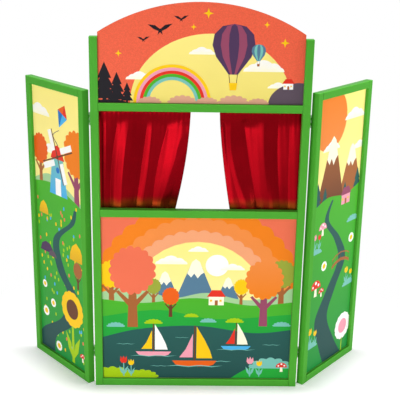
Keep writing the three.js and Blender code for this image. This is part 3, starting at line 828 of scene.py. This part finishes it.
ARCH_SIDE_SHARE = (ARCH_TOP - ARCH_RISE - HEADER_TOP) / BOARD_WIDTH
LOWER_HEIGHT_SHARE = (SILL_TOP - 2 * BATTEN) / BOARD_WIDTH
WING_HEIGHT_SHARE = (WING_HEIGHT - 2 * BATTEN) / WING_BOARD_WIDTH

# The arch: morning over a valley, with a rainbow and balloons
ARCH_SHARES = (
    ("stamp", [(0.55, 0, 0.395)], DOME, "dawn", "sky", (1, 0.86)),
    ("cloud", [(0.2, 0.115, 0.13), (0.5, 0.24, 0.12), (0.8, 0.16, 0.19), (0.875, 0.08, 0.1)]),
    ("rainbow", [(0.36, 0, 0.19)], "golden", "pink", "red", "leaf", "mint"),
    ("stamp", [(0.3, 0.36, 0.12), (0.4, 0.41, 0.07), (0.22, 0.31, 0.06)], SWALLOW_SHARES, "night"),
    ("stamp", [(0.53, 0.435, 0.05), (0.1, 0.24, 0.035), (0.9, 0.3, 0.045), (0.81, 0.385, 0.03),
               (0.46, 0.37, 0.03)], STAR_SHARES, "golden"),
    ("balloon", [(0.655, 0.275, 0.225)], "plum", "violet", "golden"),
    ("balloon", [(0.775, 0.255, 0.075)], "slate", "mint", "brown"),
    ("ground", [((0, 0.012), (0.1, 0.014), (0.17, -0.01))], "night"),
    ("pine", [(0.03, 0, 0.2), (0.09, 0, 0.15), (0.14, 0, 0.1)], "night"),
    ("stamp", [(0.98, 0, 0.15)], DOME, "dusk", None, (1, 0.72)),
    ("house", [(0.925, 0.075, 0.06)], "white", "red"),
    ("bush", [(0.25, 0, 0.06), (0.41, 0, 0.075), (0.53, 0, 0.06), (0.66, 0, 0.08), (0.78, 0, 0.055)],
     "blush"),
)

# The lower board: a lake with sailing boats under mountains and a low sun
LOWER_SHARES = (
    ("stamp", [(0.5, 0.43, 0.57)], GLOW, "orange"),
    ("stamp", [(0.5, 0.43, 0.49)], GLOW, "apricot"),
    ("stamp", [(0.5, 0.43, 0.42)], GLOW, "peach"),
    ("stamp", [(0.5, 0.43, 0.355)], DISC, "haze", "sky"),
    ("stamp", [(0.6, 0.655, 0.06)], DISC, "white"),
    ("cloud", [(0.36, 0.66, 0.16), (0.68, 0.63, 0.12), (0.5, 0.73, 0.1)]),
    ("peak", [(0.33, 0.42, 0.2), (0.66, 0.42, 0.17), (0.49, 0.42, 0.27)], "slate", "slate", 0.75),
    ("ground", [((0, 0.5), (0.16, 0.54), (0.36, 0.47), (0.55, 0.5), (0.78, 0.46), (1, 0.53))], "sage"),
    ("tree", [(0.05, 0.42, 0.26)], "brown", "golden"),
    ("tree", [(0.94, 0.42, 0.27), (0.27, 0.43, 0.15)], "brown", "olive"),
    ("tree", [(0.73, 0.43, 0.15)], "brown", "golden"),
    ("ground", [((0, 0.46), (0.22, 0.44), (0.5, 0.47), (0.78, 0.43), (1, 0.45))], "green", "leaf"),
    ("house", [(0.6, 0.43, 0.1)], "cream", "red"),
    ("ground", [((0, 0.36), (0.3, 0.4), (0.6, 0.35), (1, 0.38))], "emerald", "green"),
    ("tree", [(0.16, 0.3, 0.46)], "brown", "salmon"),
    ("tree", [(0.85, 0.31, 0.38)], "violet", "orange", "apricot"),
    ("tree", [(0.36, 0.36, 0.17)], "umber", "rust"),
    ("bush", [(0.27, 0.32, 0.05), (0.47, 0.36, 0.04), (0.7, 0.33, 0.05)], "lime"),
    ("bush", [(0.07, 0.3, 0.05), (0.56, 0.33, 0.045), (0.95, 0.31, 0.05)], "mint"),
    ("ground", [((0, 0.24), (0.2, 0.29), (0.5, 0.31), (0.8, 0.27), (1, 0.29))], "petrol", "teal"),
    ("stamp", [(0.12, 0.2, 0.1), (0.42, 0.24, 0.08), (0.62, 0.1, 0.14), (0.9, 0.2, 0.1), (0.3, 0.07, 0.1)],
     WAVE_SHARES, "mint"),
    ("boat", [(0.27, 0.13, 0.19)], "pink", "white", "golden"),
    ("boat", [(0.71, 0.17, 0.16)], "blue", "cream", "red"),
    ("boat", [(0.49, 0.07, 0.24)], "rust", "golden", "pink"),
    ("ground", [((0.66, -0.02), (0.78, 0.06), (0.92, 0.1), (1, 0.1))], "green"),
    ("bush", [(0.9, 0.06, 0.12)], "mint"),
    ("bush", [(0.05, 0, 0.12), (0.21, 0, 0.09)], "lime"),
    ("tulip", [(0.11, 0.01, 0.12)], "red"),
    ("tulip", [(0.15, 0.01, 0.1)], "golden"),
    ("tulip", [(0.79, 0.01, 0.12)], "pink"),
    ("tulip", [(0.84, 0.01, 0.1)], "golden"),
    ("toadstool", [(0.96, 0.04, 0.06)], "red"),
)

# The left wing: a windmill above a meadow, with a kite and a sunflower
LEFT_WING_SHARES = (
    ("cloud", [(0.12, 2.98, 0.44), (0.9, 2.72, 0.5), (0.34, 2.56, 0.36)]),
    ("kite", [(0.62, 3.03, 0.3)], ((0.55, 2.86, 0.016), (0.42, 2.78, 0.016), (0.52, 2.66, 0.016),
                                   (0.4, 2.58, 0.012))),
    ("ground", [((0, 2.2), (0.3, 2.3), (0.62, 2.22), (1, 2.06))], "sage"),
    ("tree", [(0.88, 2, 0.92)], "violet", "orange"),
    ("tree", [(0.13, 2.14, 0.62)], "brown", "rust"),
    ("ground", [((0, 2.16), (0.35, 2.2), (0.7, 2.12), (1, 2.02))], "emerald", "leaf"),
    ("dots", [(0.1, 2)], 3, 110),
    ("windmill", [(0.5, 2.08, 0.72)]),
    ("stream", [((0.84, 1.98, 0.05), (0.76, 1.8, 0.09), (0.42, 1.52, 0.13), (0.5, 1.16, 0.18),
                 (0.76, 0.86, 0.22), (0.6, 0.52, 0.26), (0.2, 0.24, 0.32), (0.1, -0.02, 0.4))],
     "petrol", "teal"),
    ("stamp", [(0.2, 1.3, 0.3)], ROCK_SHARES, "plum"),
    ("stamp", [(0.32, 1.27, 0.18)], ROCK_SHARES, "dusk"),
    ("haystack", [(0.84, 1.36, 0.28), (0.16, 1.78, 0.2)]),
    ("tree", [(0.86, 1.02, 0.34)], "umber", "brown"),
    ("stamp", [(0.72, 0.02, 0.9)], STEM_SHARES, "lime"),
    ("leaves", [(0.72, 0.02, 0.75)], "lime"),
    ("flower", [(0.72, 0.72, 0.46)], "golden", "umber"),
    ("flower", [(0.13, 0.5, 0.13), (0.3, 0.66, 0.11), (0.4, 0.12, 0.13), (0.12, 0.86, 0.1)],
     "white", "golden"),
    ("toadstool", [(0.92, 0.1, 0.12)], "red"),
)

# The right wing: a sun over mountains, and a brook with a bridge
RIGHT_WING_SHARES = (
    ("stamp", [(0.24, 3.06, 0.36)], DISC, "apricot", "orange"),
    ("cloud", [(0.78, 3, 0.42), (0.3, 2.7, 0.34), (0.94, 2.62, 0.3)]),
    ("peak", [(0.78, 2, 0.7)], "brown", "brown", 0.7),
    ("peak", [(0.34, 2, 0.86)], "umber", "brown", 0.62),
    ("pine", [(0.06, 2.02, 0.34), (0.22, 2.02, 0.26), (0.66, 2.02, 0.24), (0.94, 2.02, 0.36)], "teal"),
    ("ground", [((0, 2.06), (0.3, 2.14), (0.7, 2.1), (1, 2.18))], "emerald", "leaf"),
    ("house", [(0.7, 1.98, 0.24)], "pink", "violet"),
    ("stream", [((0.4, 2.09, 0.04), (0.3, 1.86, 0.09), (0.56, 1.58, 0.13), (0.7, 1.28, 0.17),
                 (0.48, 0.94, 0.22), (0.3, 0.62, 0.28), (0.44, 0.28, 0.34), (0.62, -0.02, 0.42))],
     "petrol", "teal"),
    ("bridge", [(0.68, 1.2, 0.4)]),
    ("bush", [(0.9, 1.72, 0.14), (0.1, 1.5, 0.13), (0.9, 0.88, 0.14), (0.1, 0.3, 0.15)], "mint"),
    ("tulip", [(0.84, 0.9, 0.24), (0.95, 0.88, 0.2)], "golden"),
    ("tulip", [(0.16, 1.54, 0.2)], "red"),
    ("tulip", [(0.06, 1.54, 0.22)], "pink"),
    ("tulip", [(0.07, 0.32, 0.26), (0.19, 0.3, 0.22)], "golden"),
    ("toadstool", [(0.22, 1.7, 0.17)], "pink"),
    ("toadstool", [(0.14, 0.96, 0.22), (0.27, 0.92, 0.12)], "red"),
    ("flower", [(0.84, 0.34, 0.36)], "white", "pink"),
    ("stamp", [(0.84, 0, 0.26)], STEM_SHARES, "lime", None, (1.4, 1)),
    ("flower", [(0.9, 1.5, 0.12), (0.3, 1.3, 0.12)], "white", "golden"),
)


def oblong(high):
    return [(0.0, 0.0), (1.0, 0.0), (1.0, high), (0.0, high)]


def arched():
    """The outline of the top board: a flat foot, short sides and a round top edge."""
    middle, rise = 0.5, ARCH_RISE / BOARD_WIDTH
    radius = (middle * middle + rise * rise) / (2 * rise)
    half = math.degrees(math.asin(middle / radius))
    centre = ARCH_SIDE_SHARE + rise - radius
    over = [(middle + x, centre + y) for x, y in arc(90 - half, 90 + half, radius)]
    return [(0.0, 0.0), (1.0, 0.0), *over]


def printed_paper():
    """Satin paper, whose mottled ink shows where the picture asks for it."""
    look = Look("printed_paper", Roughness=0.42, Specular_IOR_Level=0.12)
    ink = look.add("Attribute", attribute_name="ink")
    grain = look.noise(look.place(), *PAPER_GRAIN)
    cloudy = look.noise(look.place(), *PAPER_CLOUDS)
    mottle = look.spread(grain, *MOTTLED_TONES)
    plain = look.spread(cloudy, *PAPER_TONES)
    amount = look.add("Mix", {0: ink.outputs["Alpha"], 2: plain, 3: mottle}, data_type="FLOAT").outputs[0]
    shaded = look.add("HueSaturation", {"Color": ink.outputs["Color"], "Value": amount})
    look.set("Base Color", shaded.outputs[0])
    look.bump(grain, *PAPER_RELIEF)
    return look.material


def paper_mesh(name, sheet, width, corner, across):
    """A closed thin sheet in front of a board: corner is the board's lower left, across its direction."""
    points, outlines = [], []
    for shape in sheet.shapes:
        outlines.append(list(range(len(points), len(points) + len(shape[0]))))
        points += [Vector(p) for p in shape[0]]
    flat, _, triangles, _, _, parents = delaunay_2d_cdt(points, [], outlines, 1, MEETING_POINT, True)
    kept = [(face, max(inside)) for face, inside in zip(triangles, parents) if 0 in inside]
    used = sorted({i for face, _ in kept for i in face})
    number = {i: n for n, i in enumerate(used)}
    faces = [[number[i] for i in face] for face, _ in kept]
    edges = {(a, b) for face in faces for a, b in zip(face, face[1:] + face[:1])}
    after = {a: b for a, b in edges if (b, a) not in edges}
    rim = [next(iter(after))]
    while after[rim[-1]] != rim[0]:
        rim.append(after[rim[-1]])
    inward = Vector((-across.y, across.x, 0))
    share = (width - 2 * PAPER_MARGIN) / width

    def at(place, depth):
        x, y = PAPER_MARGIN + place.x * width * share, PAPER_MARGIN + place.y * width * share
        return corner + x * across + Vector((0, 0, y)) - depth * inward

    vertices = [at(flat[i], PAPER_FRONT) for i in used]
    behind = {i: len(vertices) + n for n, i in enumerate(rim)}
    vertices += [at(flat[used[i]], PAPER_BACK) for i in rim]
    sides = [[b, a, behind[a], behind[b]] for a, b in zip(rim, rim[1:] + rim[:1])]
    mesh = bpy.data.meshes.new(name)
    mesh.from_pydata(vertices, [], faces + sides + [[behind[i] for i in reversed(rim)]])
    ink = mesh.color_attributes.new("ink", "FLOAT_COLOR", "CORNER")
    colours = []
    for face, top in kept:
        outline, low, high, mottled = sheet.shapes[top]
        foot, reach = min(p[1] for p in outline), max(p[1] for p in outline) - min(p[1] for p in outline)
        for i in face:
            t = (flat[i].y - foot) / reach
            colours.append([a + t * (b - a) for a, b in zip(low[:3], high[:3])] + [float(mottled)])
    paper = [*linear(*INKS["cream"])[:3], 0.0]
    colours += [paper] * (len(mesh.loops) - len(colours))
    ink.data.foreach_set("color", np.array(colours).ravel())
    return mesh


PAPER = printed_paper()


def glue(name, sheet, width, corner, across, body):
    mesh = paper_mesh(name, sheet, width, corner, across)
    mesh.materials.append(PAPER)
    made = put(name, mesh)
    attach(made, body)


def wing_place(along, depth):
    """A place on the right wing, from the hinge's axis: along the wing, and back from the axis."""
    c, s = math.cos(WING_ANGLE), math.sin(WING_ANGLE)
    return HINGE + Vector((c * along - s * depth, s * along + c * depth, 0))


def glue_papers():
    face = SHIFT_Y + BOARD_RECESS
    level = Vector((1, 0, 0))
    corner = Vector((-INNER_HALF, face, HEADER_TOP))
    sheet = Print(arched(), "coral", mottled=True).draw(ARCH_SHARES)
    glue("arch_paper", sheet, BOARD_WIDTH, corner, level, "stage")
    corner = Vector((-INNER_HALF, face, BATTEN))
    sheet = Print(oblong(LOWER_HEIGHT_SHARE), "salmon").draw(LOWER_SHARES)
    glue("lower_paper", sheet, BOARD_WIDTH, corner, level, "stage")
    foot = Vector((0, 0, BATTEN))
    near = wing_place(WING_NEAR + BATTEN, WING_FRONT + BOARD_RECESS) + foot
    far = wing_place(WING_NEAR + WING_WIDTH - BATTEN, WING_FRONT + BOARD_RECESS) + foot
    direction = Vector((math.cos(WING_ANGLE), math.sin(WING_ANGLE), 0))
    sheet = Print(oblong(WING_HEIGHT_SHARE), "haze", "sky").draw(RIGHT_WING_SHARES)
    glue("wing_right_paper", sheet, WING_BOARD_WIDTH, near, direction, "right_wing")
    left_near = Vector((-far.x, far.y, far.z))
    direction = Vector((math.cos(WING_ANGLE), -math.sin(WING_ANGLE), 0))
    sheet = Print(oblong(WING_HEIGHT_SHARE), "haze", "sky").draw(LEFT_WING_SHARES)
    glue("wing_left_paper", sheet, WING_BOARD_WIDTH, left_near, direction, "left_wing")


glue_papers()


# Camera, at the photograph's angle

CAMERA_YAW, CAMERA_PITCH, CAMERA_ROLL = (math.radians(a) for a in (-1.176, 17.746, 1.03))
CAMERA_X, CAMERA_AWAY, CAMERA_HEIGHT = -0.0456, 2.3411, 1.3359
SENSOR_WIDTH = 36.0
FRAME_PIXELS = 400
FOCAL_PIXELS = 877.9


def add_camera():
    data = bpy.data.cameras.new("camera")
    data.sensor_width = SENSOR_WIDTH
    data.lens = FOCAL_PIXELS * SENSOR_WIDTH / FRAME_PIXELS
    camera = put("camera", data)
    upright = Matrix.Rotation(CAMERA_YAW, 4, "Z") @ Matrix.Rotation(math.pi / 2 - CAMERA_PITCH, 4, "X")
    rolled = upright @ Matrix.Rotation(CAMERA_ROLL, 4, "Z")
    place = Vector((CAMERA_X, SHIFT_Y - CAMERA_AWAY, CAMERA_HEIGHT))
    camera.matrix_world = Matrix.Translation(place) @ rolled
    bpy.context.scene.camera = camera


add_camera()


# Floor, world and lamps

FLOOR_RADIUS, FLOOR_SIDES = 4.0, 96
FLOOR_WHITE, WHITE = (0.98, 0.98, 0.98, 1), (1, 1, 1, 1)
NEAR_FLOOR, FAR_FLOOR = 0.3, 0.9
NEAR_WHITE = 0.19
AMBIENT = 0.33
MIDDLE = Vector((0, 0, 0.55))

# Each lamp: its place, its width and height, and its power in watts
LAMPS = {
    "key_left": ((-1.45, -2.75, 0.42), (0.8, 0.8), 36),
    "fill_right": ((3.0, -0.55, 1.0), (1.2, 1.2), 40),
    "top": ((0, 0.2, 8.0), (1.0, 0.46), 400),
}


def add_floor():
    mesh = bpy.data.meshes.new("floor")
    made = bmesh.new()
    bmesh.ops.create_circle(made, cap_ends=True, segments=FLOOR_SIDES, radius=FLOOR_RADIUS)
    made.to_mesh(mesh)
    made.free()
    floor = put("floor", mesh)
    look = Look("floor_white", Base_Color=FLOOR_WHITE, Roughness=0.9, Specular_IOR_Level=0.1)
    where = look.add("TexCoord").outputs["Object"]
    away = look.add("VectorMath", {0: where}, operation="LENGTH").outputs["Value"]
    faded = look.ramp(away, NEAR_FLOOR, FAR_FLOOR, interpolation_type="SMOOTHSTEP")
    shown = look.seen_directly()
    lift = look.math("MULTIPLY", shown, NEAR_WHITE)
    lifting = look.add("Emission", {"Strength": lift}, {"Color": WHITE}).outputs[0]
    near = look.add("AddShader", {0: look.shader.outputs[0], 1: lifting}).outputs[0]
    seen = look.math("MULTIPLY", faded, shown)
    white = look.add("Emission", values={"Color": WHITE, "Strength": 1.0}).outputs[0]
    mixed = look.add("MixShader", {0: seen, 1: near, 2: white}).outputs[0]
    look.show("Material Output", mixed)
    mesh.materials.append(look.material)


def add_world():
    world = bpy.data.worlds.new("studio")
    studio = Tree(world)
    shown = studio.tree.nodes["Background"]
    shown.inputs["Color"].default_value = WHITE
    shown.inputs["Strength"].default_value = 1.0
    lighting = studio.add("Background", values={"Color": WHITE, "Strength": AMBIENT})
    links = {0: studio.seen_directly(), 1: lighting.outputs[0], 2: shown.outputs[0]}
    studio.show("World Output", studio.add("MixShader", links).outputs[0])
    bpy.context.scene.world = world


def add_softbox(name, place, size, power):
    """A lamp with a rectangular face, aimed at the theatre's middle."""
    data = bpy.data.lights.new(name, "AREA")
    data.shape = "RECTANGLE"
    data.size, data.size_y = size
    data.energy = power
    lamp = put(name, data)
    lamp.location = place
    lamp.rotation_euler = (MIDDLE - Vector(place)).to_track_quat("-Z", "Y").to_euler()


add_floor()
add_world()
for name, settings in LAMPS.items():
    add_softbox(name, *settings)

bpy.context.scene.view_settings.view_transform = "Standard"
